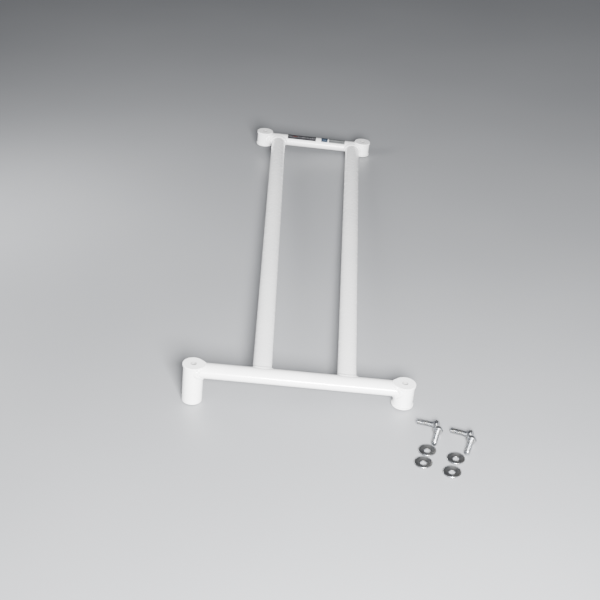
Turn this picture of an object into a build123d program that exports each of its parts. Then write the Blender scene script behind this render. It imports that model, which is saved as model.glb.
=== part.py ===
from build123d import *
import os
from math import sqrt, sin, cos, tan, atan2, degrees, radians, hypot, asin

# ---------------------------------------------------------------------------
# Four-point chassis brace: two oval cross tubes and two oval long tubes welded
# into a ladder frame, with an upright tubular boss at each end of each cross
# tube, and the loose hardware that fastens it.  Millimetres, +Z up.
# The brace stands on three of its four bosses, so it leans a few degrees; it is
# laid out level first and then set down on the ground plane z = 0.
# ---------------------------------------------------------------------------

# --- boss positions on the level brace (X right, Y rearwards, Z up; the origin
#     is midway between the two front bosses, on the front cross tube's axis)
front_half = 196.2          # half the distance between the front bosses
rear_half = 130.2           # half the distance between the rear bosses
rear_shift = -1.4           # rear pair's sideways offset
rear_skew = 4.5             # rear left boss stands this far back, rear right this far forward
length = 1140.4             # front cross tube axis to rear cross tube axis

# --- oval tubing (full width lies flat, full height stands up)
cross_w, cross_h = 36.0, 26.4
long_w, long_h = 36.0, 23.4
wall = 2.0
long_drop = 1.4             # long tubes' axis below the cross tubes' axis
long_front = (-69.1, 88.8)  # X of the long tubes' axes at the front cross tube
long_rear = (-93.8, 103.1)  # X of the long tubes' axes at the rear cross tube

# --- bosses
sleeve_od, sleeve_id = 38.0, 32.0
cap_d, cap_t = 41.0, 4.5    # flange of the cap that closes each boss
spigot_d, spigot_t = 31.96, 5.5
bolt_hole = 11.0
ring_d, ring_id, ring_t = 41.0, 32.0, 4.0
ring_chamfer = 1.3          # on the foot ring's lower outer edge
front_top, rear_top = 13.4, 17.9        # cap's top face above the cross tube's axis
boss_bottom = {"fl": -66.4, "fr": -34.0, "rl": -18.3, "rr": -17.6}
foot_rings = ("fr", "rl", "rr")         # the tall front left boss ends in its plain tube

# --- fillet welds
weld_leg = 4.5
boss_leg = 4.0

# --- labels on the rear cross tube: (low x, high x) measured along its axis from its middle
label_t = 0.25
label_spans = {"label_main": (-69.0, 6.7), "label_seal": (20.5, 38.0), "label_data": (40.7, 83.5)}
label_front, label_back = -14.0, 9.6    # how far the labels reach over the tube, front to back

# --- loose hardware
bolt_len, bolt_r = 35.0, 5.0
head_af, head_h = 16.0, 6.4
chamfer_len = 1.2
washer_r, washer_hole_r = 16.2, 5.4
washer_t, washer_rise = 2.2, 4.2        # sheet thickness; total height to the raised rim
washer_flat_r = 8.6
# under-head point (x, y) and heading of each bolt, and washer centres, on the ground,
# measured from the point on the ground below the front cross tube's middle
bolts = {
    "bolt_1": (249.5, -70.7, 156.0),
    "bolt_2": (253.2, -90.0, -103.8),
    "bolt_3": (308.5, -97.0, 152.0),
    "bolt_4": (311.0, -115.5, -107.2),
}
washers = {
    "washer_1": (232.2, -138.5),
    "washer_2": (281.2, -159.3),
    "washer_3": (223.5, -173.3),
    "washer_4": (271.8, -196.8),
}

boss = {
    "fl": (-front_half, 0.0),
    "fr": (front_half, 0.0),
    "rl": (-rear_half + rear_shift, length + rear_skew),
    "rr": (rear_half + rear_shift, length - rear_skew),
}
boss_top = {"fl": front_top, "fr": front_top, "rl": rear_top, "rr": rear_top}


# --- helpers ----------------------------------------------------------------
def oval(p, q, w, h, grow=0.0, over=0.0):
    """Elliptical rod from point p to point q, lengthened by `over` at each end."""
    a, b = Vector(*p), Vector(*q)
    d = (b - a).normalized()
    side = Vector(d.Y, -d.X, 0).normalized()
    pl = Plane(origin=a - d * over, x_dir=side, z_dir=d)
    return extrude(pl * Ellipse(w / 2 + grow, h / 2 + grow), (b - a).length + 2 * over)


def rod(x, y, z0, z1, r):
    """Upright round rod."""
    return extrude(Plane(origin=(x, y, z0)) * Circle(r), z1 - z0)


def one(shape):
    """The largest solid of a result, dropping slivers."""
    return max(shape.solids(), key=lambda s: s.volume)


# --- whole outer forms, used to notch the neighbours -------------------------
def rear_at(x):
    """Point on the rear cross tube's axis at a given x."""
    (xl, yl), (xr, yr) = boss["rl"], boss["rr"]
    return (x, yl + (yr - yl) * (x - xl) / (xr - xl), 0.0)


front_line = ((boss["fl"][0], 0, 0), (boss["fr"][0], 0, 0))
rear_line = ((boss["rl"][0], boss["rl"][1], 0), (boss["rr"][0], boss["rr"][1], 0))
long_line = {}
for side, xf, xr in zip(("left", "right"), long_front, long_rear):
    y_r = rear_at(xr)[1]
    long_line[side] = ((xf, 0, -long_drop), (xr, y_r, -long_drop))

front_full = oval(*front_line, cross_w, cross_h, over=30)
rear_full = oval(*rear_line, cross_w, cross_h, over=30)
boss_full = {}
for k, (x, y) in boss.items():
    top = boss_top[k]
    body = rod(x, y, boss_bottom[k], top, sleeve_od / 2)
    body += rod(x, y, top - cap_t, top, cap_d / 2)
    if k in foot_rings:
        body += rod(x, y, boss_bottom[k], boss_bottom[k] + ring_t, ring_d / 2)
    boss_full[k] = body

parts = {}

# --- cross tubes, notched to fit round the bosses ----------------------------
parts["front_cross_tube"] = one(
    oval(*front_line, cross_w, cross_h)
    - oval(*front_line, cross_w, cross_h, grow=-wall, over=5)
    - boss_full["fl"] - boss_full["fr"]
)
parts["rear_cross_tube"] = one(
    oval(*rear_line, cross_w, cross_h)
    - oval(*rear_line, cross_w, cross_h, grow=-wall, over=5)
    - boss_full["rl"] - boss_full["rr"]
)

# --- long tubes, notched to fit the cross tubes ------------------------------
for side, line in long_line.items():
    tube = oval(*line, long_w, long_h) - oval(*line, long_w, long_h, grow=-wall, over=5)
    tube = tube - front_full - rear_full
    tube = tube - boss_full["rl" if side == "left" else "rr"]
    parts[f"{side}_long_tube"] = one(tube)

# --- bosses: sleeve, stepped cap, foot ring ----------------------------------
for k, (x, y) in boss.items():
    top, low = boss_top[k], boss_bottom[k]
    z_low = low + (ring_t if k in foot_rings else 0.0)
    z_high = top - cap_t
    parts[f"boss_sleeve_{k}"] = one(
        rod(x, y, z_low, z_high, sleeve_od / 2) - rod(x, y, z_low - 1, z_high + 1, sleeve_id / 2)
    )
    cap = rod(x, y, z_high, top, cap_d / 2) + rod(x, y, z_high - spigot_t, z_high, spigot_d / 2)
    cap = one(cap - rod(x, y, z_high - spigot_t - 1, top + 1, bolt_hole / 2))
    rim = [e for e in cap.edges().filter_by(GeomType.CIRCLE)
           if abs(e.radius - cap_d / 2) < 0.01 and abs(e.center().Z - top) < 0.01]
    cap = chamfer(rim, 0.6)
    parts[f"boss_cap_{k}"] = one(cap)
    if k in foot_rings:
        ring = one(rod(x, y, low, low + ring_t, ring_d / 2) - rod(x, y, low - 1, low + ring_t + 1, ring_id / 2))
        rim = [e for e in ring.edges().filter_by(GeomType.CIRCLE)
               if abs(e.radius - ring_d / 2) < 0.01 and abs(e.center().Z - low) < 0.01]
        parts[f"boss_ring_{k}"] = one(chamfer(rim, ring_chamfer))


# --- fillet welds: stepped beads that fill the corner between two outer forms --
def bead(form_a, form_b, cutters, keep):
    """form_a(g) and form_b(g) give the two outer forms grown by g."""
    body = None
    for share in (0.3, 0.65, 1.0):
        piece = (form_a(weld * share) & form_b(weld * (1.3 - share)))
        body = piece if body is None else body + piece
    body = body & keep
    for c in cutters:
        body = body - c
    return body


weld = weld_leg
for side, line in long_line.items():
    (xf, yf, _), (xr, yr, _) = line
    near_front = Pos(xf, 25, 0) * Box(80, 50, 60)
    near_rear = Pos(xr, yr - 25, 0) * Box(80, 50, 60)
    b = bead(
        lambda g, l=line: oval(*l, long_w, long_h, grow=g, over=5),
        lambda g: oval(*front_line, cross_w, cross_h, grow=g),
        [oval(*line, long_w, long_h, over=6), front_full],
        near_front,
    )
    parts[f"weld_{side}_front"] = one(b)
    b = bead(
        lambda g, l=line: oval(*l, long_w, long_h, grow=g, over=5),
        lambda g: oval(*rear_line, cross_w, cross_h, grow=g),
        [oval(*line, long_w, long_h, over=6), rear_full]
        + [boss_full["rl" if side == "left" else "rr"]],
        near_rear,
    )
    parts[f"weld_{side}_rear"] = one(b)

weld = boss_leg
for k, (x, y) in boss.items():
    inward = 1 if k in ("fl", "rl") else -1
    bar = front_line if k[0] == "f" else rear_line
    full = front_full if k[0] == "f" else rear_full
    zone = Pos(x + inward * 15, y, 0) * Box(30, 60, 60)
    top = boss_top[k]
    cutters = [full, boss_full[k]]
    if k == "rl":
        cutters += [oval(*long_line["left"], long_w, long_h, over=6), parts["weld_left_rear"]]
    if k == "rr":
        cutters += [oval(*long_line["right"], long_w, long_h, over=6), parts["weld_right_rear"]]
    b = bead(
        lambda g, l=bar: oval(*l, cross_w, cross_h, grow=g),
        lambda g, x=x, y=y, k=k, top=top: rod(x, y, -cross_h / 2 - boss_leg, min(top - cap_t, cross_h / 2 + boss_leg), sleeve_od / 2 + g),
        cutters,
        zone,
    )
    parts[f"weld_boss_{k}"] = one(b)

# --- labels: thin skins on the rear cross tube's upper front quarter ----------
xm = (boss["rl"][0] + boss["rr"][0]) / 2
ang = atan2(boss["rr"][1] - boss["rl"][1], boss["rr"][0] - boss["rl"][0])
skin = oval(*rear_line, cross_w, cross_h, grow=label_t) - oval(*rear_line, cross_w, cross_h, over=5)
for name, (a, b) in label_spans.items():
    mid = rear_at(xm + (a + b) / 2)
    window = (
        Pos(mid[0], mid[1], 0) * Rot(0, 0, degrees(ang)) * Pos(0, (label_front + label_back) / 2, 15)
        * Box((b - a) / cos(ang), label_back - label_front, 30.0)
    )
    window = window - (Pos(mid[0], mid[1], 0) * Rot(0, 0, degrees(ang)) * Pos(0, 0, -20) * Box(200, 80, 50))
    parts[name] = one(skin & window)

# --- set the level brace down on the ground ----------------------------------
# It touches at the rims of the front left, front right and rear right bosses.
touch = []
for k in ("fl", "fr", "rr"):
    x, y = boss[k]
    rim_r = ring_d / 2 - ring_chamfer if k in foot_rings else sleeve_od / 2
    touch.append((x, y, boss_bottom[k], rim_r))
mx = my = 0.0
for _ in range(60):
    mz = sqrt(1 - mx * mx - my * my)
    k_rim = sqrt(mx * mx + my * my)
    # rows: mx*x + my*y + mz*z + t = r*k_rim
    (x1, y1, z1, r1), (x2, y2, z2, r2), (x3, y3, z3, r3) = touch
    b1, b2, b3 = (r * k_rim - mz * z for (_, _, z, r) in touch)
    det = (x2 - x1) * (y3 - y1) - (x3 - x1) * (y2 - y1)
    mx = ((b2 - b1) * (y3 - y1) - (b3 - b1) * (y2 - y1)) / det
    my = ((x2 - x1) * (b3 - b1) - (x3 - x1) * (b2 - b1)) / det
    lift = b1 - mx * x1 - my * y1
alpha = asin(-mx)
beta = asin(my / cos(alpha))
ground = Pos(0, 0, lift) * Rot(0, degrees(alpha), 0) * Rot(degrees(beta), 0, 0)
print("lean about Y %.4f deg, about X %.4f deg, lift %.4f mm" % (degrees(alpha), degrees(beta), lift))
parts = {n: ground * s for n, s in parts.items()}


# --- loose bolts: hexagon head, plain shank, lying on the head's flat and the tip
tilt = atan2(head_af / 2 - bolt_r, bolt_len - chamfer_len)
head = extrude(Plane.XY * RegularPolygon(head_af / 2, 6, major_radius=False), head_h)
cone = extrude(Plane.XY * Circle(head_af / 2 * 1.155 + 0.05), head_h)
top_edge = [e for e in cone.edges().filter_by(GeomType.CIRCLE) if e.center().Z > head_h / 2]
cone = chamfer(top_edge, length=0.9, length2=1.6)
head = head & cone
shank = extrude(Plane.XY * Circle(bolt_r), -bolt_len)
tip_edge = [e for e in shank.edges().filter_by(GeomType.CIRCLE) if e.center().Z < -bolt_len / 2]
shank = chamfer(tip_edge, chamfer_len)
bolt = one(head + shank)
for name, (x, y, heading) in bolts.items():
    # the bolt's own -Z runs from the head to the tip; lay it down, nose lowered by `tilt`
    h = radians(heading)
    d = Vector(cos(h) * cos(tilt), sin(h) * cos(tilt), -sin(tilt))
    side = Vector(-sin(h), cos(h), 0)
    pl = Plane(origin=(x, y, head_af / 2 * cos(tilt)), x_dir=side, z_dir=-d)
    parts[name] = one(pl.location * bolt)

# --- loose washers: dished, lying on their flat centres ------------------------
cone_l = washer_r - washer_flat_r
rise = washer_rise - washer_t
prof = Polyline(
    (washer_hole_r, 0), (washer_flat_r, 0), (washer_r, rise), (washer_r, rise + washer_t),
    (washer_flat_r, washer_t), (washer_hole_r, washer_t), (washer_hole_r, 0),
)
washer = revolve(Plane.XZ * make_face(prof), Axis.Z)
for name, (x, y) in washers.items():
    parts[name] = one(Pos(x, y, 0) * washer)

# --- origin: middle of the footprint, on the ground ----------------------------
boxes = [s.bounding_box(optimal=True) for s in parts.values()]
lo = [min(getattr(b.min, a) for b in boxes) for a in "XYZ"]
hi = [max(getattr(b.max, a) for b in boxes) for a in "XYZ"]
shift = Vector(-(lo[0] + hi[0]) / 2, -(lo[1] + hi[1]) / 2, -lo[2])
print("box", [round(h - l, 3) for h, l in zip(hi, lo)], "shift", [round(v, 4) for v in shift])
parts = {n: Pos(*shift) * s for n, s in parts.items()}

os.makedirs("parts", exist_ok=True)
for name, solid in parts.items():
    solid.label = name
    export_step(solid, f"parts/{name}.step")
print(len(parts), "parts")
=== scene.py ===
import bpy
import math
from mathutils import Matrix, Vector


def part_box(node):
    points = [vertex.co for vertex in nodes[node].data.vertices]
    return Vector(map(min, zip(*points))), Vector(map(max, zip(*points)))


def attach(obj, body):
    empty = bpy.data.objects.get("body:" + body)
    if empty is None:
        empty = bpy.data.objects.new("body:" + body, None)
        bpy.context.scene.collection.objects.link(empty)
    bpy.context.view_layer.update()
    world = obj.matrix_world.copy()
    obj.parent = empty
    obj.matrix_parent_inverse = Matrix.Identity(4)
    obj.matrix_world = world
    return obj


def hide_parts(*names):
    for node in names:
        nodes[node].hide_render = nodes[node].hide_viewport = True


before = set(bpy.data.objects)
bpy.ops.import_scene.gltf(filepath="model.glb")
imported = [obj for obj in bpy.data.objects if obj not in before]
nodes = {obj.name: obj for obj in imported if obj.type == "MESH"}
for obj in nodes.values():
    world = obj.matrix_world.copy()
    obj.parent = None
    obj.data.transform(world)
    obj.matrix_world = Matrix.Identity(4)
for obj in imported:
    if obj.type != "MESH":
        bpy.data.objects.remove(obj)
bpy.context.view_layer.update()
MM = 0.001

# ---------------------------------------------------------------------------
# Placement.  The brace is described level, in millimetres, from the point
# midway between its front bosses; `T` sets it down as the CAD does.
# ---------------------------------------------------------------------------
LEAN_Y, LEAN_X, LIFT = math.radians(4.7168), math.radians(-1.1077), 51.6338
R = Matrix.Rotation(LEAN_Y, 3, "Y") @ Matrix.Rotation(LEAN_X, 3, "X")


def box_mid(node):
    lo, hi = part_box(node)
    return (Vector(lo) + Vector(hi)) / 2


# the tall sleeve runs from z = -66.4 to 8.9 on the level brace, so its middle is known
sleeve_mid = box_mid("boss_sleeve_fl")
origin = sleeve_mid / MM - R @ Vector((-196.2, 0.0, (8.9 - 66.4) / 2))
ground = Vector((origin.x, origin.y, origin.z - LIFT))   # foot of the level origin


def T(p):
    return (R @ Vector(p) + origin) * MM


FRONT_HALF, REAR_HALF, REAR_SHIFT, REAR_SKEW, LENGTH = 196.2, 130.2, -1.4, 4.5, 1140.4
CA, CB = 18.0, 13.2              # cross tubes' half width and half height
LA, LB = 18.0, 11.7              # long tubes' half width and half height
DROP = 1.4
LONG = {"left": (-69.1, -93.8), "right": (88.8, 103.1)}
SLEEVE_R, CAP_R, CAP_T, RING_T = 19.0, 20.5, 4.5, 4.0
BOSS = {
    "fl": (-FRONT_HALF, 0.0, 13.4, -66.4, False),
    "fr": (FRONT_HALF, 0.0, 13.4, -34.0, True),
    "rl": (-REAR_HALF + REAR_SHIFT, LENGTH + REAR_SKEW, 17.9, -18.3, True),
    "rr": (REAR_HALF + REAR_SHIFT, LENGTH - REAR_SKEW, 17.9, -17.6, True),
}
UP = Vector((0, 0, 1))

# ---------------------------------------------------------------------------
# Node helpers
# ---------------------------------------------------------------------------


def new_mat(name):
    m = bpy.data.materials.new(name)
    m.use_nodes = True
    nt = m.node_tree
    nt.nodes.clear()
    out = nt.nodes.new("ShaderNodeOutputMaterial")
    bsdf = nt.nodes.new("ShaderNodeBsdfPrincipled")
    nt.links.new(bsdf.outputs[0], out.inputs[0])
    return m, nt, bsdf


def node(nt, kind, **values):
    n = nt.nodes.new(kind)
    for k, v in values.items():
        if k.startswith("_"):
            setattr(n, k[1:], v)
        else:
            n.inputs[k].default_value = v
    return n


def link(nt, a, b):
    nt.links.new(a, b)


def noise(nt, vec, scale, detail=2.0, rough=0.5, distortion=0.0):
    n = node(nt, "ShaderNodeTexNoise", Scale=scale, Detail=detail, Roughness=rough, Distortion=distortion)
    link(nt, vec, n.inputs["Vector"])
    return n.outputs["Fac"]


def ramp(nt, fac, stops):
    r = nt.nodes.new("ShaderNodeValToRGB")
    els = r.color_ramp.elements
    while len(els) < len(stops):
        els.new(0.5)
    for e, (pos, col) in zip(els, stops):
        e.position = pos
        e.color = (*col, 1.0) if len(col) == 3 else col
    link(nt, fac, r.inputs["Fac"])
    return r.outputs["Color"]


def span(nt, fac, a, b, lo=0.0, hi=1.0, smooth=True):
    m = nt.nodes.new("ShaderNodeMapRange")
    m.interpolation_type = "SMOOTHSTEP" if smooth else "LINEAR"
    m.inputs["From Min"].default_value = a
    m.inputs["From Max"].default_value = b
    m.inputs["To Min"].default_value = lo
    m.inputs["To Max"].default_value = hi
    link(nt, fac, m.inputs["Value"])
    return m.outputs["Result"]


def mix(nt, fac, a, b, mode="MIX"):
    m = nt.nodes.new("ShaderNodeMix")
    m.data_type = "RGBA"
    m.blend_type = mode
    for sock, v in ((m.inputs[0], fac), (m.inputs[6], a), (m.inputs[7], b)):
        if hasattr(v, "is_output"):
            link(nt, v, sock)
        elif isinstance(v, tuple):
            sock.default_value = (*v, 1.0)
        else:
            sock.default_value = v
    return m.outputs[2]


def math_node(nt, op, a, b=None, c=None):
    m = nt.nodes.new("ShaderNodeMath")
    m.operation = op
    for i, v in enumerate((a, b, c)):
        if v is None:
            continue
        if hasattr(v, "is_output"):
            link(nt, v, m.inputs[i])
        else:
            m.inputs[i].default_value = v
    return m.outputs[0]


def bump(nt, height, distance, strength=1.0, normal=None):
    b = node(nt, "ShaderNodeBump", Strength=strength, Distance=distance)
    link(nt, height, b.inputs["Height"])
    if normal is not None:
        link(nt, normal, b.inputs["Normal"])
    return b.outputs["Normal"]


# ---------------------------------------------------------------------------
# Materials
# ---------------------------------------------------------------------------
def white_coat(name, weld=False, bore=None):
    """Gloss white powder coat: orange peel, slow colour drift, painted shade with some grime darkening the corners.
    bore is (point, axis) of a bolt hole, whose wall is coloured darker grey as painted shade inside the hole."""
    m, nt, bsdf = new_mat(name)
    tex = nt.nodes.new("ShaderNodeTexCoord").outputs["Object"]
    drift = noise(nt, tex, 9.0, 3.0, 0.55)
    base = ramp(nt, drift, [(0.30, (0.80, 0.805, 0.81)), (0.55, (0.85, 0.852, 0.85)), (0.80, (0.87, 0.868, 0.858))])
    # fine handling marks and settled dust, a touch warmer and darker
    marks = noise(nt, tex, 85.0, 6.0, 0.62, 0.6)
    base = mix(nt, span(nt, marks, 0.60, 0.78, 0.0, 0.15), base, (0.70, 0.695, 0.675))
    specks = noise(nt, tex, 620.0, 2.0, 0.5)
    base = mix(nt, span(nt, specks, 0.72, 0.77, 0.0, 0.25), base, (0.60, 0.595, 0.58))
    # painted shade: ambient occlusion darkens the corners and weld crevices, broken up by noise like grime
    ao = nt.nodes.new("ShaderNodeAmbientOcclusion")
    ao.samples = 8
    ao.inputs["Distance"].default_value = 0.007
    corner = span(nt, ao.outputs["AO"], 0.35, 0.85, 1.0, 0.0)
    corner_shade_and_grime = math_node(nt, "MULTIPLY", corner, span(nt, noise(nt, tex, 160.0, 4.0, 0.6), 0.3, 0.7, 0.35, 0.8))
    base = mix(nt, corner_shade_and_grime, base, (0.46, 0.45, 0.425))
    if bore:
        sub = node(nt, "ShaderNodeVectorMath", _operation="SUBTRACT")
        link(nt, tex, sub.inputs[0])
        sub.inputs[1].default_value = bore[0]
        off = node(nt, "ShaderNodeVectorMath", _operation="CROSS_PRODUCT")
        link(nt, sub.outputs[0], off.inputs[0])
        off.inputs[1].default_value = bore[1]
        size = node(nt, "ShaderNodeVectorMath", _operation="LENGTH")
        link(nt, off.outputs[0], size.inputs[0])
        wall = span(nt, size.outputs["Value"], 0.0056, 0.0060, 1.0, 0.0)
        # painted shade: the bolt hole's wall is coloured darker grey
        bore_shade = ramp(nt, marks, [(0.35, (0.44, 0.44, 0.435)), (0.65, (0.36, 0.36, 0.355))])
        base = mix(nt, wall, base, bore_shade)
    link(nt, base, bsdf.inputs["Base Color"])
    rough = math_node(nt, "ADD", span(nt, marks, 0.35, 0.75, 0.22, 0.32), math_node(nt, "MULTIPLY", corner_shade_and_grime, 0.3))
    link(nt, rough, bsdf.inputs["Roughness"])
    bev = nt.nodes.new("ShaderNodeBevel")
    bev.samples = 4
    bev.inputs["Radius"].default_value = 0.0009
    peel = noise(nt, tex, 420.0, 2.0, 0.45)
    wave = noise(nt, tex, 60.0, 1.0, 0.4)
    n = bump(nt, wave, 0.00010, 0.4, bev.outputs["Normal"])
    n = bump(nt, peel, 0.00006 if not weld else 0.00014, 0.6, n)
    n = bump(nt, specks, 0.00005, 0.5, n)
    link(nt, n, bsdf.inputs["Normal"])
    bsdf.inputs["Coat Weight"].default_value = 0.45
    bsdf.inputs["Coat Roughness"].default_value = 0.12
    bsdf.inputs["IOR"].default_value = 1.5
    return m


def zinc(name, washer=False):
    """Zinc plate over steel; a washer's turned face is painted dark as the shade and dark reflection it shows, so its
    rolled rim and hole edge read brighter.
    """
    m, nt, bsdf = new_mat(name)
    tex = nt.nodes.new("ShaderNodeTexCoord").outputs["Object"]
    tint = noise(nt, tex, 120.0, 3.0, 0.5)
    base = ramp(nt, tint, [(0.32, (0.36, 0.385, 0.42)), (0.50, (0.44, 0.45, 0.465)), (0.68, (0.46, 0.45, 0.41))])
    stain = noise(nt, tex, 330.0, 5.0, 0.65, 0.4)
    base = mix(nt, span(nt, stain, 0.52, 0.75, 0.0, 0.5), base, (0.24, 0.237, 0.235))
    rough = span(nt, stain, 0.3, 0.75, 0.20, 0.44)
    bev = nt.nodes.new("ShaderNodeBevel")
    bev.samples = 4
    bev.inputs["Radius"].default_value = 0.00035
    n = bump(nt, noise(nt, tex, 2400.0, 3.0, 0.6), 0.00003, 0.5, bev.outputs["Normal"])
    if washer:
        sep = nt.nodes.new("ShaderNodeSeparateXYZ")
        link(nt, tex, sep.inputs[0])
        r = math_node(nt, "SQRT", math_node(nt, "ADD", math_node(nt, "POWER", sep.outputs[0], 2.0),
                                            math_node(nt, "POWER", sep.outputs[1], 2.0)))
        wob = math_node(nt, "MULTIPLY", noise(nt, tex, 260.0, 2.0, 0.5), 0.0004)
        r_wob = math_node(nt, "ADD", r, wob)
        # painted shade and reflection: the turned face between the hole edge and the rolled rim is coloured dark,
        # with turned rings in it
        face = math_node(nt, "MULTIPLY", span(nt, r_wob, 0.0064, 0.0072), span(nt, r_wob, 0.0142, 0.0150, 1.0, 0.0))
        turned = span(nt, math_node(nt, "SINE", math_node(nt, "MULTIPLY", r_wob, 5200.0)), -1.0, 1.0, 0.0, 1.0)
        shaded_turned_face = mix(nt, turned, (0.085, 0.086, 0.088), (0.155, 0.156, 0.158))
        base = mix(nt, math_node(nt, "MULTIPLY", face, 0.9), base, shaded_turned_face)
        rough = math_node(nt, "ADD", rough, math_node(nt, "MULTIPLY", face, 0.16))
        rings = math_node(nt, "SINE", math_node(nt, "MULTIPLY", r_wob, 8200.0))
        n = bump(nt, rings, 0.00004, 0.6, n)
        coarse = math_node(nt, "SINE", math_node(nt, "MULTIPLY", r, 2600.0))
        n = bump(nt, coarse, 0.00012, 0.5, n)
    # painted shade: ambient occlusion darkens the colour in crevices, threads and under the head
    ao = nt.nodes.new("ShaderNodeAmbientOcclusion")
    ao.samples = 6
    ao.inputs["Distance"].default_value = 0.0018
    base = mix(nt, span(nt, ao.outputs["AO"], 0.3, 0.9, 0.6, 0.0), base, (0.07, 0.068, 0.065))
    link(nt, base, bsdf.inputs["Base Color"])
    bsdf.inputs["Metallic"].default_value = 1.0
    link(nt, rough, bsdf.inputs["Roughness"])
    link(nt, n, bsdf.inputs["Normal"])
    return m


def vinyl(name, lay):
    """Textless vinyl label; `lay(nt, u, v)` gives its colour from millimetres along and down the label."""
    m, nt, bsdf = new_mat(name)
    tex = nt.nodes.new("ShaderNodeTexCoord").outputs["Object"]
    sub = node(nt, "ShaderNodeVectorMath", _operation="SUBTRACT")
    link(nt, tex, sub.inputs[0])
    sub.inputs[1].default_value = rear_mid * MM
    axes = []
    for axis in (rear_along, rear_down):
        d = node(nt, "ShaderNodeVectorMath", _operation="DOT_PRODUCT")
        link(nt, sub.outputs[0], d.inputs[0])
        d.inputs[1].default_value = axis
        axes.append(math_node(nt, "MULTIPLY", d.outputs["Value"], 1000.0))
    base = lay(nt, *axes)
    wear = noise(nt, tex, 900.0, 4.0, 0.6)
    base = mix(nt, span(nt, wear, 0.62, 0.76, 0.0, 0.18), base, (0.45, 0.45, 0.45))
    link(nt, base, bsdf.inputs["Base Color"])
    link(nt, span(nt, wear, 0.3, 0.7, 0.50, 0.68), bsdf.inputs["Roughness"])
    n = bump(nt, noise(nt, tex, 300.0, 2.0, 0.5), 0.0001, 0.4)
    link(nt, n, bsdf.inputs["Normal"])
    bsdf.inputs["Specular IOR Level"].default_value = 0.22
    return m


# the rear cross tube's middle, its own direction, and down its front face
_rl, _rr = BOSS["rl"], BOSS["rr"]
rear_dir = Vector((_rr[0] - _rl[0], _rr[1] - _rl[1], 0)).normalized()
rear_perp = Vector((rear_dir.y, -rear_dir.x, 0))         # towards the front
rear_mid = R @ Vector(((_rl[0] + _rr[0]) / 2, (_rl[1] + _rr[1]) / 2, 0)) + origin
rear_along = R @ rear_dir
rear_down = R @ rear_perp


def within(nt, v, a, b, soft=0.15):
    return math_node(nt, "MULTIPLY", span(nt, v, a - soft, a + soft), span(nt, v, b - soft, b + soft, 1.0, 0.0))


def blocks(nt, u, v, pitch, fill, lo, hi, seed):
    """A row of plain blocks of uneven length, lo to hi across the label."""
    comb = nt.nodes.new("ShaderNodeCombineXYZ")
    link(nt, math_node(nt, "FLOOR", math_node(nt, "DIVIDE", u, pitch)), comb.inputs[0])
    comb.inputs[1].default_value = seed
    w = nt.nodes.new("ShaderNodeTexWhiteNoise")
    w.noise_dimensions = "2D"
    link(nt, comb.outputs[0], w.inputs["Vector"])
    frac = math_node(nt, "FRACT", math_node(nt, "DIVIDE", u, pitch))
    on = math_node(nt, "LESS_THAN", frac, math_node(nt, "ADD", math_node(nt, "MULTIPLY", w.outputs["Value"], 0.45), fill))
    return math_node(nt, "MULTIPLY", on, within(nt, v, lo, hi))


def lay_main(nt, u, v):
    c = mix(nt, within(nt, v, -9.2, 13.0, 0.1), (0.55, 0.55, 0.56), (0.014, 0.014, 0.016))
    c = mix(nt, blocks(nt, u, v, 4.6, 0.30, 2.3, 5.6, 3.0), c, (0.20, 0.20, 0.21))
    c = mix(nt, blocks(nt, u, v, 3.1, 0.25, 7.6, 9.3, 8.0), c, (0.10, 0.10, 0.11))
    c = mix(nt, math_node(nt, "MULTIPLY", within(nt, u, -55.0, -44.0), within(nt, v, 1.2, 4.2)), c, (0.10, 0.016, 0.014))
    return c


def lay_seal(nt, u, v):
    c = mix(nt, within(nt, v, -8.4, 12.2), (0.55, 0.57, 0.60), (0.020, 0.034, 0.056))
    inner = math_node(nt, "MULTIPLY", within(nt, u, 24.5, 34.0), within(nt, v, 4.4, 6.4))
    return mix(nt, inner, c, (0.12, 0.15, 0.19))


def lay_data(nt, u, v):
    c = mix(nt, within(nt, v, -8.9, 12.6), (0.55, 0.55, 0.54), (0.105, 0.110, 0.112))
    c = mix(nt, blocks(nt, u, v, 3.8, 0.35, 3.0, 5.2, 5.0), c, (0.26, 0.265, 0.265))
    c = mix(nt, blocks(nt, u, v, 2.7, 0.30, 7.6, 9.4, 1.0), c, (0.04, 0.04, 0.042))
    return c


coat = white_coat("white_coat")
coat_weld = white_coat("white_coat_weld", weld=True)
zinc_bolt = zinc("zinc_bolt")
zinc_washer = zinc("zinc_washer", washer=True)
mat_main = vinyl("label_main_vinyl", lay_main)
mat_seal = vinyl("label_seal_vinyl", lay_seal)
mat_data = vinyl("label_data_vinyl", lay_data)


def dress(obj, mat):
    me = obj.data
    if not me.materials:
        me.materials.append(mat)
    for i in range(len(me.materials)):
        me.materials[i] = mat


for name, obj in nodes.items():
    if name.startswith("label_"):
        dress(obj, {"label_main": mat_main, "label_seal": mat_seal, "label_data": mat_data}[name])
    elif name.startswith(("bolt_", "washer_", "weld_")):
        pass
    elif name.startswith("boss_cap_"):
        x, y, top = BOSS[name[-2:]][:3]
        dress(obj, white_coat("white_coat_" + name, bore=(T((x, y, top)), R @ UP)))
    else:
        dress(obj, coat)


# ---------------------------------------------------------------------------
# Mesh helpers
# ---------------------------------------------------------------------------
def make(name, verts, faces, mat, smooth=True, location=None, rotation=None):
    me = bpy.data.meshes.new(name)
    if rotation is not None:
        verts = [rotation @ Vector(v) for v in verts]
    me.from_pydata([tuple(v) for v in verts], [], faces)
    me.validate()
    me.update()
    if smooth:
        me.polygons.foreach_set("use_smooth", [True] * len(me.polygons))
    me.materials.append(mat)
    ob = bpy.data.objects.new(name, me)
    bpy.context.scene.collection.objects.link(ob)
    if location is not None:
        ob.location = location
    return ob


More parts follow.
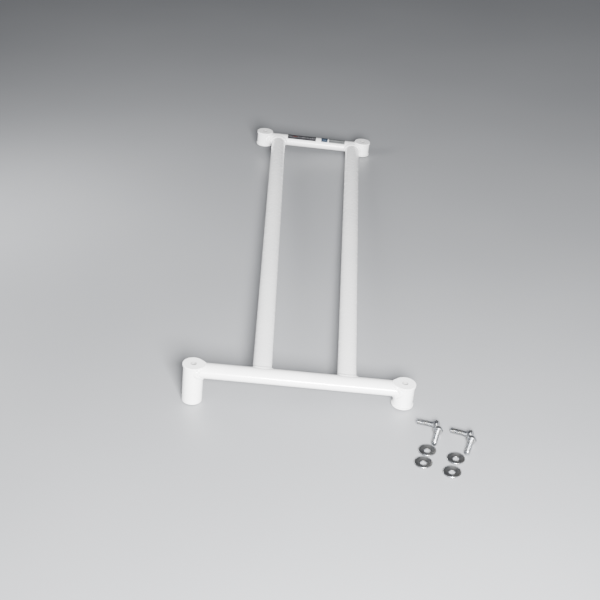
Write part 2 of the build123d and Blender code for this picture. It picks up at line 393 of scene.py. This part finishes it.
def torus_faces(n_along, n_section):
    faces = []
    for i in range(n_along):
        j = (i + 1) % n_along
        for k in range(n_section):
            l = (k + 1) % n_section
            faces.append((i * n_section + k, i * n_section + l, j * n_section + l, j * n_section + k))
    return faces


# ---------------------------------------------------------------------------
# Weld beads: a rippled fillet along the seam of two tubes
# ---------------------------------------------------------------------------
def hash01(i, seed):
    x = math.sin(i * 12.9898 + seed * 78.233) * 43758.5453
    return x - math.floor(x)


def bead(name, points, on_a, on_b, grow_a, grow_b, leg, seed, legs=None):
    """points: seam points; on_a/on_b give outward normals; grow_a/grow_b walk a distance away
    from the seam along each surface; legs(i) scales the bead along the seam."""
    n = len(points)
    # arc length
    arc = [0.0]
    for i in range(1, n):
        arc.append(arc[-1] + (points[i] - points[i - 1]).length)
    total = arc[-1] + (points[0] - points[-1]).length
    count = max(6, round(total / 2.7))
    pitch = total / count
    section = 10
    verts = []
    for i in range(n):
        p = points[i]
        t = (points[(i + 1) % n] - points[i - 1]).normalized()
        na, nb = on_a(i), on_b(i)
        size = leg * (legs(i) if legs else 1.0)
        phase0 = arc[i] / pitch
        hump = 0.9 + 0.18 * hash01(math.floor(phase0), seed)
        size_a = size * hump
        size_b = size * (0.92 + 0.16 * hash01(math.floor(phase0), seed + 5))
        toe_a, toe_b = grow_a(i, t, size_a), grow_b(i, t, size_b)
        out = (na + nb)
        out = out.normalized() if out.length > 1e-4 else na
        ring = []
        for k in range(section - 2):
            s = k / (section - 3)
            bow = 4 * s * (1 - s)
            phi = phase0 + 0.42 * bow
            rip = abs(math.sin(math.pi * phi)) ** 0.7
            q = toe_a.lerp(toe_b, s) + out * (bow * size * (0.10 + 0.16 * rip))
            ring.append(q)
        ring.append(toe_b - nb * 0.7 - out * 0.2)
        ring.append(toe_a - na * 0.7 - out * 0.2)
        verts += [T(q) for q in ring]
    ob = make(name, verts, torus_faces(n, section), coat_weld)
    fix_normals(ob)
    return ob


def fix_normals(ob):
    import bmesh
    bm = bmesh.new()
    bm.from_mesh(ob.data)
    bmesh.ops.recalc_face_normals(bm, faces=bm.faces)
    bm.to_mesh(ob.data)
    bm.free()


SEAM_N = 420


def joint_long(side, end):
    """Long tube to cross tube."""
    xf, xr = LONG[side]
    slope = (_rr[1] - _rl[1]) / (_rr[0] - _rl[0])
    yr = _rl[1] + slope * (xr - _rl[0])
    a, b = Vector((xf, 0, -DROP)), Vector((xr, yr, -DROP))
    d = (b - a).normalized()
    s = Vector((d.y, -d.x, 0))
    if end == "front":
        away, anchor = d, a
        perp = Vector((0, 1, 0))                 # out of the cross tube, towards the long tube
        base = Vector((0, 0, 0))
    else:
        away, anchor = -d, b
        perp = rear_perp
        base = Vector((xr, yr, 0))
    pts, ths = [], []
    for i in range(SEAM_N):
        th = 2 * math.pi * i / SEAM_N
        off = s * (LA * math.cos(th)) + UP * (LB * math.sin(th))
        z = off.z - DROP
        want = CA * math.sqrt(max(0.0, 1 - (z / CB) ** 2))
        start = anchor + off
        w = (want - (start - base).dot(perp)) / away.dot(perp)
        pts.append(start + away * w)
        ths.append(th)

    def na(i):
        th = ths[i]
        return (s * (math.cos(th) / LA) + UP * (math.sin(th) / LB)).normalized()

    def nb(i):
        v = (pts[i] - base).dot(perp)
        return (perp * (v / CA ** 2) + UP * (pts[i].z / CB ** 2)).normalized()

    def ga(i, t, leg):
        n = na(i)
        g = n.cross(t)
        if g.dot(away) < 0:
            g = -g
        q = pts[i] + g.normalized() * leg
        rel = q - anchor
        u, v, w = rel.dot(s), rel.z, rel.dot(away)
        k = math.sqrt((u / LA) ** 2 + (v / LB) ** 2)
        return anchor + away * w + s * (u / k) + UP * (v / k)

    def gb(i, t, leg):
        n = nb(i)
        g = n.cross(t)
        if g.dot(na(i)) < 0:
            g = -g
        q = pts[i] + g.normalized() * leg
        rel = q - base
        u, v = rel.dot(perp), q.z
        k = math.sqrt((u / CA) ** 2 + (v / CB) ** 2)
        q = q + perp * (u / k - u) + UP * (v / k - v)
        return q

    # the bead is heavier where it starts and stops, at the right-hand side of the tube
    def legs(i):
        th = ths[i]
        right_lump = math.exp(-(math.atan2(math.sin(th), math.cos(th)) / 0.55) ** 2)
        left_lump = math.exp(-(math.atan2(math.sin(th - math.pi), math.cos(th - math.pi)) / 0.45) ** 2)
        if end == "front":
            return 1.0 + 0.62 * right_lump + (0.22 if side == "left" else 0.02) * left_lump
        return 1.0 + 0.05 * right_lump + (0.30 if side == "left" else 0.10) * left_lump

    return bead(f"bead_{side}_{end}", pts, na, nb, ga, gb, 4.3, seed=len(side) + (7 if end == "front" else 2), legs=legs)


def joint_boss(k):
    """Cross tube to boss sleeve."""
    x, y, top, low, ring = BOSS[k]
    e = (Vector((1, 0, 0)) if k[0] == "f" else rear_dir) * (1 if k[1] == "l" else -1)
    s = Vector((-e.y, e.x, 0))
    c = Vector((x, y, 0))
    flange = top - CAP_T
    hi_z = top - 0.15 if k[0] == "f" else flange - 0.1
    lo_z = (low + RING_T + 0.1) if ring else low + 0.5

    def radius(z):
        if k[0] != "f":
            return SLEEVE_R
        f = min(1.0, max(0.0, (z - (flange - 1.2)) / 1.2))
        return SLEEVE_R + (CAP_R - SLEEVE_R - 0.25) * f * f * (3 - 2 * f)

    pts, ths = [], []
    for i in range(SEAM_N):
        th = 2 * math.pi * i / SEAM_N
        u, z = CA * math.cos(th), CB * math.sin(th)
        w = math.sqrt(max(0.0, radius(z) ** 2 - u ** 2))
        pts.append(c + e * w + s * u + UP * z)
        ths.append(th)

    def na(i):
        th = ths[i]
        return (s * (math.cos(th) / CA) + UP * (math.sin(th) / CB)).normalized()

    def nb(i):
        v = pts[i] - c
        v.z = 0
        return v.normalized()

    def ga(i, t, leg):
        n = na(i)
        g = n.cross(t)
        if g.dot(e) < 0:
            g = -g
        q = pts[i] + g.normalized() * leg
        rel = q - c
        u, v, w = rel.dot(s), rel.z, rel.dot(e)
        kk = math.sqrt((u / CA) ** 2 + (v / CB) ** 2)
        return c + e * w + s * (u / kk) + UP * (v / kk)

    def gb(i, t, leg):
        n = nb(i)
        g = n.cross(t)
        if g.dot(na(i)) < 0:
            g = -g
        q = pts[i] + g.normalized() * leg
        q.z = min(max(q.z, lo_z), hi_z)
        rel = q - c
        r = math.hypot(rel.x, rel.y)
        want = radius(q.z) + 0.02
        return Vector((c.x + rel.x * want / r, c.y + rel.y * want / r, q.z))

    return bead(f"bead_boss_{k}", pts, na, nb, ga, gb, 3.7, seed=ord(k[0]) + ord(k[1]))


for side in ("left", "right"):
    for end in ("front", "rear"):
        ob = joint_long(side, end)
        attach(ob, "brace")
        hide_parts(f"weld_{side}_{end}")
for k in BOSS:
    ob = joint_boss(k)
    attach(ob, "brace")
    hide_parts(f"weld_boss_{k}")

# ---------------------------------------------------------------------------
# Bolts: M10 hexagon head, threaded close to the head, zinc plated
# ---------------------------------------------------------------------------
BOLT_LEN, BOLT_R, HEAD_AF, HEAD_H, PITCH = 35.0, 5.0, 16.0, 6.4, 1.5


def bolt_mesh():
    """Bolt along its own -Z: head from z = 0 up to HEAD_H, tip at z = -BOLT_LEN.  Metres."""
    verts, faces = [], []
    seg = 96
    # shank rows from the tip up to the head
    rows = []
    step = PITCH / 10
    count = int((BOLT_LEN - 0.9) / step)
    for i in range(count + 1):
        rows.append(-BOLT_LEN + 0.001 + i * step)
    rows.append(-0.05)

    def radius(z, a):
        depth = 0.78
        run = min(1.0, max(0.0, (-z - 2.6) / 2.2))          # thread runs out below the head
        ph = (z / PITCH - a / (2 * math.pi)) % 1.0
        tri = abs(ph * 2 - 1)                               # 0 at the root, 1 at the crest
        prof = min(1.0, max(0.0, (tri - 0.12) / 0.60))
        r = BOLT_R - depth * run * (1 - prof)
        tip = -z - (BOLT_LEN - 1.5)
        if tip > 0:
            r = min(r, BOLT_R - 0.15 - tip * 0.78)
        return r

    base = len(verts)
    for z in rows:
        for j in range(seg):
            a = 2 * math.pi * j / seg
            r = radius(z, a)
            verts.append((r * math.cos(a), r * math.sin(a), z))
    for i in range(len(rows) - 1):
        for j in range(seg):
            k = (j + 1) % seg
            faces.append((base + i * seg + j, base + i * seg + k, base + (i + 1) * seg + k, base + (i + 1) * seg + j))
    # tip face, slightly dished
    ring0 = [base + j for j in range(seg)]
    inner = []
    for j in range(seg):
        a = 2 * math.pi * j / seg
        inner.append(len(verts))
        verts.append((2.2 * math.cos(a), 2.2 * math.sin(a), -BOLT_LEN + 0.06))
    for j in range(seg):
        k = (j + 1) % seg
        faces.append((ring0[k], ring0[j], inner[j], inner[k]))
    centre = len(verts)
    verts.append((0, 0, -BOLT_LEN + 0.22))
    for j in range(seg):
        faces.append((inner[(j + 1) % seg], inner[j], centre))
    # head: washer face, hexagon sides, chamfered crown, shallow dish
    def hexr(a, grow=0.0):
        b = (a + math.pi / 6) % (math.pi / 3) - math.pi / 6
        return (HEAD_AF / 2 + grow) / math.cos(b)

    def round_hex(a, limit, grow=0.0):
        return min(hexr(a, grow), limit)

    corner = HEAD_AF / 2 / math.cos(math.pi / 6)
    levels = []
    top_neck = [base + (len(rows) - 1) * seg + j for j in range(seg)]
    levels.append(("ring", 0.0, lambda a: 7.35))            # washer face
    levels.append(("ring", 0.35, lambda a: 7.45))
    levels.append(("ring", 0.40, lambda a: round_hex(a, corner - 0.45, -0.05)))
    levels.append(("ring", 0.75, lambda a: round_hex(a, corner - 0.05)))
    levels.append(("ring", 4.3, lambda a: round_hex(a, corner - 0.05)))
    for i in range(1, 9):
        f = i / 8
        lim = corner - 0.02 - 1.75 * f ** 1.05
        levels.append(("ring", 4.3 + (HEAD_H - 4.3) * (0.35 + 0.65 * f) if i > 0 else 4.3, lambda a, lim=lim: round_hex(a, lim)))
    levels.append(("ring", HEAD_H, lambda a: 7.05))
    levels.append(("ring", HEAD_H - 0.28, lambda a: 6.6))
    levels.append(("ring", HEAD_H - 0.34, lambda a: 3.0))
    prev = top_neck
    for _, z, fn in levels:
        cur = []
        for j in range(seg):
            a = 2 * math.pi * j / seg
            r = fn(a)
            cur.append(len(verts))
            verts.append((r * math.cos(a), r * math.sin(a), z))
        for j in range(seg):
            k = (j + 1) % seg
            faces.append((prev[j], prev[k], cur[k], cur[j]))
        prev = cur
    centre = len(verts)
    verts.append((0, 0, HEAD_H - 0.34))
    for j in range(seg):
        faces.append((prev[j], prev[(j + 1) % seg], centre))
    return [tuple(c * MM for c in v) for v in verts], faces


TILT = math.atan2(HEAD_AF / 2 - BOLT_R, BOLT_LEN - 1.2)
BOLTS = {
    "bolt_1": (249.5, -70.7, 156.0),
    "bolt_2": (253.2, -90.0, -103.8),
    "bolt_3": (308.5, -97.0, 152.0),
    "bolt_4": (311.0, -115.5, -107.2),
}
bolt_v, bolt_f = bolt_mesh()
for name, (x, y, heading) in BOLTS.items():
    h = math.radians(heading)
    d = Vector((math.cos(h) * math.cos(TILT), math.sin(h) * math.cos(TILT), -math.sin(TILT)))
    sx = Vector((-math.sin(h), math.cos(h), 0))
    zx = -d
    yx = zx.cross(sx)
    rot = Matrix((sx, yx, zx)).transposed()
    # the hexagon lies on a flat, so a flat faces along local Y
    spin = Matrix.Rotation(math.radians(30.0), 3, "Z")
    loc = Vector((x + ground.x, y + ground.y, HEAD_AF / 2 * math.cos(TILT) + ground.z)) * MM
    ob = make(name + "_threaded", bolt_v, bolt_f, zinc_bolt, location=loc, rotation=rot @ spin)
    fix_normals(ob)
    for p in ob.data.polygons:
        p.use_smooth = True
    ob.data.set_sharp_from_angle(angle=math.radians(28))
    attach(ob, name)
    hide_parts(name)

# ---------------------------------------------------------------------------
# Washers: pressed, dished, rolled rim
# ---------------------------------------------------------------------------
WR, WH = 16.2, 5.4
WASHERS = {
    "washer_1": (232.2, -138.5),
    "washer_2": (281.2, -159.3),
    "washer_3": (223.5, -173.3),
    "washer_4": (271.8, -196.8),
}


def washer_profile():
    """Closed profile (r, z) in millimetres, anticlockwise."""
    pts = []
    pts += [(WH + 0.25, 0.0), (7.0, 0.0), (8.4, 0.0), (9.4, 0.22), (11.0, 0.62), (13.0, 1.15), (14.6, 1.58), (15.5, 1.80)]
    # rolled outer rim
    for i in range(9):
        a = -math.pi / 2 + math.pi * i / 8 * 0.98
        pts.append((15.35 + 0.85 * math.cos(a), 2.95 + 1.15 * math.sin(a)))
    # top face, with two pressed rings
    top = [(14.9, 4.0), (14.3, 3.72), (13.6, 3.50), (12.9, 3.36), (12.2, 3.26), (11.6, 3.02), (10.9, 2.80), (10.2, 2.62),
           (9.5, 2.44), (8.9, 2.30), (8.4, 2.30), (8.0, 2.42), (7.5, 2.44), (7.0, 2.30), (6.6, 2.20), (6.1, 2.20), (WH + 0.35, 2.18)]
    pts += top
    pts += [(WH + 0.08, 2.0), (WH, 1.7), (WH, 0.4), (WH + 0.07, 0.12)]
    return pts


prof = washer_profile()
seg = 160
wv, wf = [], []
for i in range(seg):
    a = 2 * math.pi * i / seg
    for r, z in prof:
        wv.append((r * math.cos(a) * MM, r * math.sin(a) * MM, z * MM))
np_ = len(prof)
for i in range(seg):
    j = (i + 1) % seg
    for k in range(np_):
        l = (k + 1) % np_
        wf.append((i * np_ + k, j * np_ + k, j * np_ + l, i * np_ + l))
for name, (x, y) in WASHERS.items():
    loc = Vector((x + ground.x, y + ground.y, ground.z)) * MM
    ob = make(name + "_pressed", wv, wf, zinc_washer, location=loc)
    fix_normals(ob)
    ob.data.set_sharp_from_angle(angle=math.radians(40))
    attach(ob, name)
    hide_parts(name)

# ---------------------------------------------------------------------------
# Floor, light and camera
# ---------------------------------------------------------------------------
fm, nt, bsdf = new_mat("floor_matte")
tex = nt.nodes.new("ShaderNodeTexCoord").outputs["Object"]
link(nt, ramp(nt, noise(nt, tex, 1.5, 2.0), [(0.3, (0.235, 0.24, 0.25)), (0.7, (0.255, 0.26, 0.27))]), bsdf.inputs["Base Color"])
bsdf.inputs["Roughness"].default_value = 0.45
floor = make("floor", [(-12, -12, 0), (12, -12, 0), (12, 14, 0), (-12, 14, 0)], [(0, 1, 2, 3)], fm, smooth=False)
floor.location.z = -0.0002


def area(name, loc, aim, size, power, size_y=None, color=(1, 1, 1)):
    l = bpy.data.lights.new(name, "AREA")
    l.shape = "RECTANGLE"
    l.size = size
    l.size_y = size_y or size
    l.energy = power
    l.color = color
    o = bpy.data.objects.new(name, l)
    bpy.context.scene.collection.objects.link(o)
    o.location = loc
    o.rotation_mode = "QUATERNION"
    o.rotation_quaternion = (Vector(aim) - Vector(loc)).to_track_quat("-Z", "Y")
    return o


area("key_front", (0.24, -2.18, 1.04), (0.02, -0.40, 0.03), 0.6, 350, 0.6)
area("left_rear", (-0.95, 0.20, 0.50), (-0.14, 0.55, 0.04), 0.45, 9, 0.45)
area("top_soft", (-0.10, -0.80, 2.2), (-0.05, -0.45, 0.0), 1.6, 6, 1.6)
world = bpy.data.worlds.new("studio")
world.use_nodes = True
world.node_tree.nodes["Background"].inputs[0].default_value = (0.92, 0.94, 1.0, 1)
world.node_tree.nodes["Background"].inputs[1].default_value = 0.19
bpy.context.scene.world = world

cam_data = bpy.data.cameras.new("camera")
cam_data.sensor_width = 36.0
cam_data.lens = 72.06
cam = bpy.data.objects.new("camera", cam_data)
bpy.context.scene.collection.objects.link(cam)
pitch, yaw, roll = math.radians(30.982), math.radians(1.802), math.radians(0.467)
fwd = Vector((-math.sin(yaw) * math.cos(pitch), math.cos(yaw) * math.cos(pitch), -math.sin(pitch)))
right0 = Vector((math.cos(yaw), math.sin(yaw), 0))
up0 = right0.cross(fwd)
right = right0 * math.cos(roll) + up0 * math.sin(roll)
up = -right0 * math.sin(roll) + up0 * math.cos(roll)
cam.matrix_world = Matrix.Translation((Vector((58.20, -1828.78, 1321.51)) + ground) * MM) @ Matrix((right, up, -fwd)).transposed().to_4x4()
cam_data.clip_start, cam_data.clip_end = 0.05, 60.0
bpy.context.scene.camera = cam
